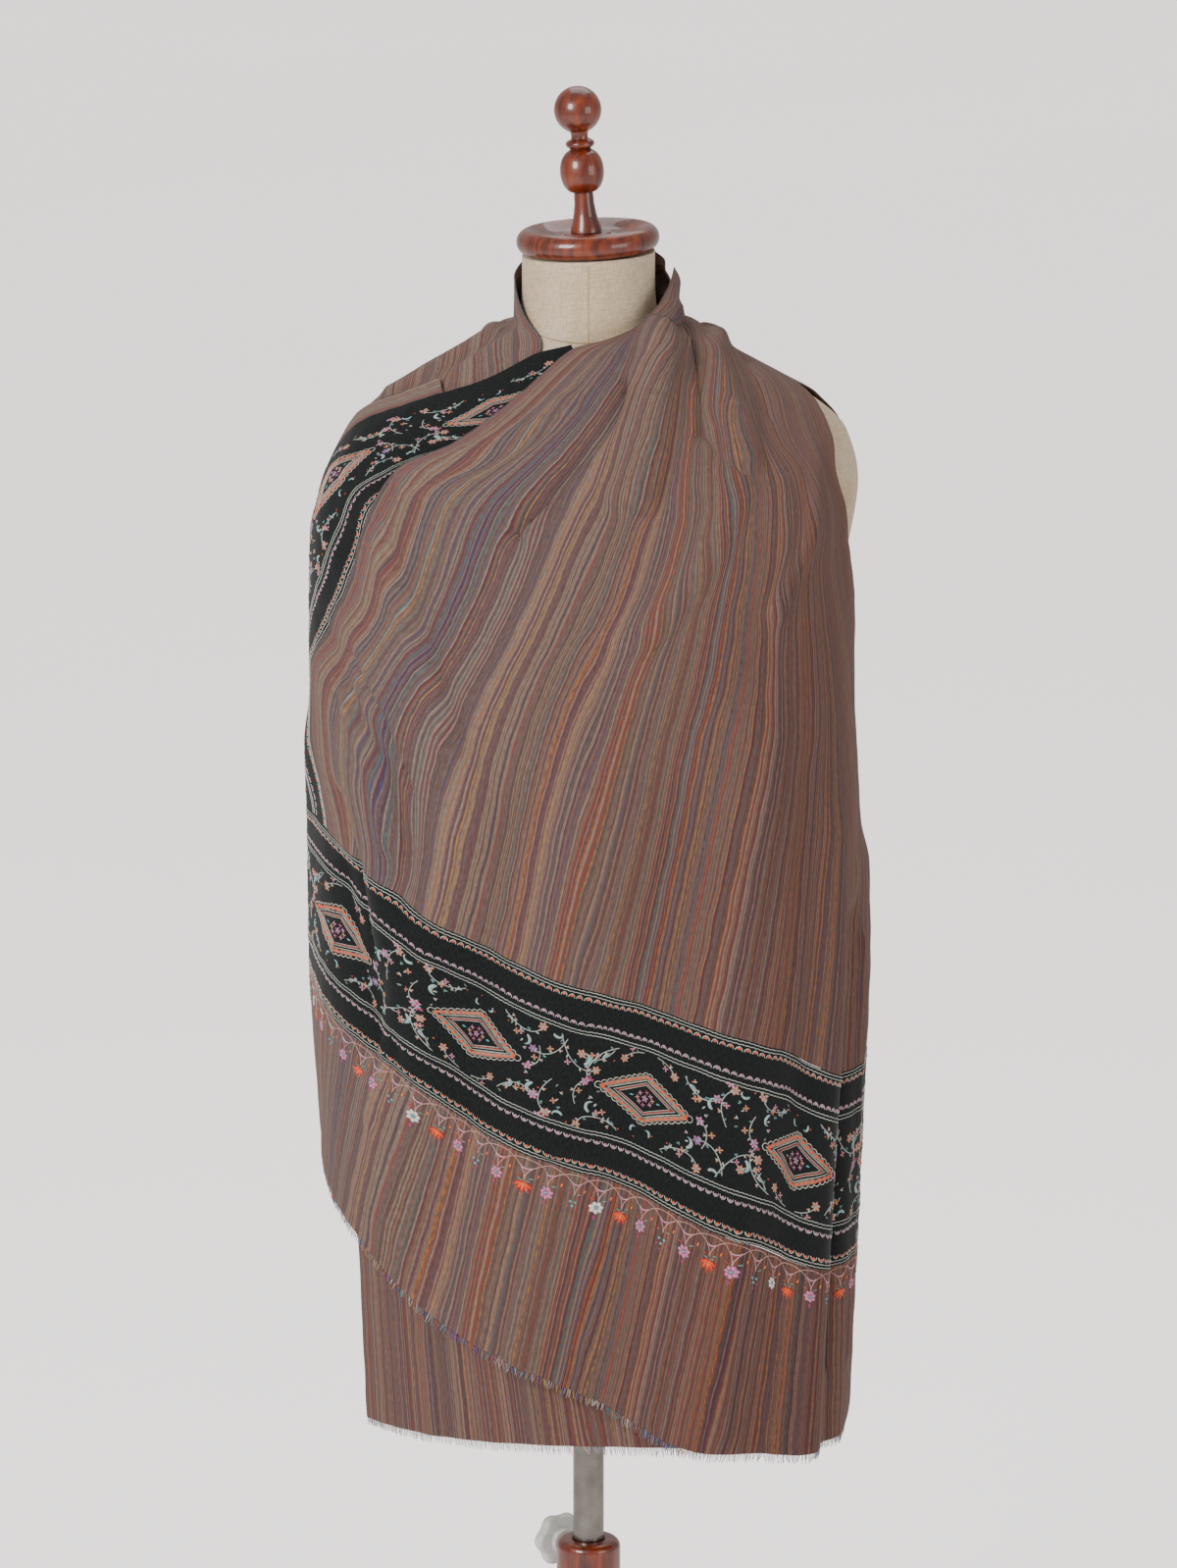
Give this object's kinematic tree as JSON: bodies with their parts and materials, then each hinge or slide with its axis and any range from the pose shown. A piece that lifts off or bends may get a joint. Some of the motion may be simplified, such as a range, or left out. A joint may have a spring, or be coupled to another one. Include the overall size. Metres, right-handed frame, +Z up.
{
  "type": "pashmina shawl on a dress form",
  "caption": "Wide striped pashmina shawl with embroidered black borders and a short fringe, wrapped round a limbless linen dress form on a pole stand.",
  "frame": {"origin": "centre of the stand base's flat underside, on the floor under the pole", "axes": "+Z up along the pole, -Y is the front of the worn shawl, +X is to the right of someone who faces the front"},
  "size_m": [0.4509, 0.35, 1.5761],
  "materials": {
    "striped_cloth": "fine soft woven wool with narrow warp stripes in rose, greige, rust, plum and slate",
    "black_band": "fine matt black wool with coloured thread embroidery",
    "fringe": "short loose warp ends in white and mixed colours",
    "form_linen": "taut cream linen over padding",
    "mahogany": "turned, stained red-brown, high gloss lacquer",
    "steel_pole": "polished tube with fine handling scratches",
    "knob_plastic": "moulded, pale"
  },
  "bodies": {
    "root": {"back_cowl": "striped_cloth", "clamp_knob": "knob_plastic", "clamp_screw": "steel_pole", "dress_form": "form_linen", "end_band": "black_band", "end_strip": "striped_cloth", "finial": "mahogany", "front_fall": "striped_cloth", "front_fringe": "fringe", "left_roll": "striped_cloth", "neck_cap": "mahogany", "neck_roll": "striped_cloth", "pole": "steel_pole", "pole_flange": "steel_pole", "shoulder_roll": "striped_cloth", "side_band": "black_band", "side_margin": "striped_cloth", "stand_base": "mahogany", "stand_column": "mahogany", "under_fall": "striped_cloth", "under_fringe": "fringe"}
  },
  "joints": []
}
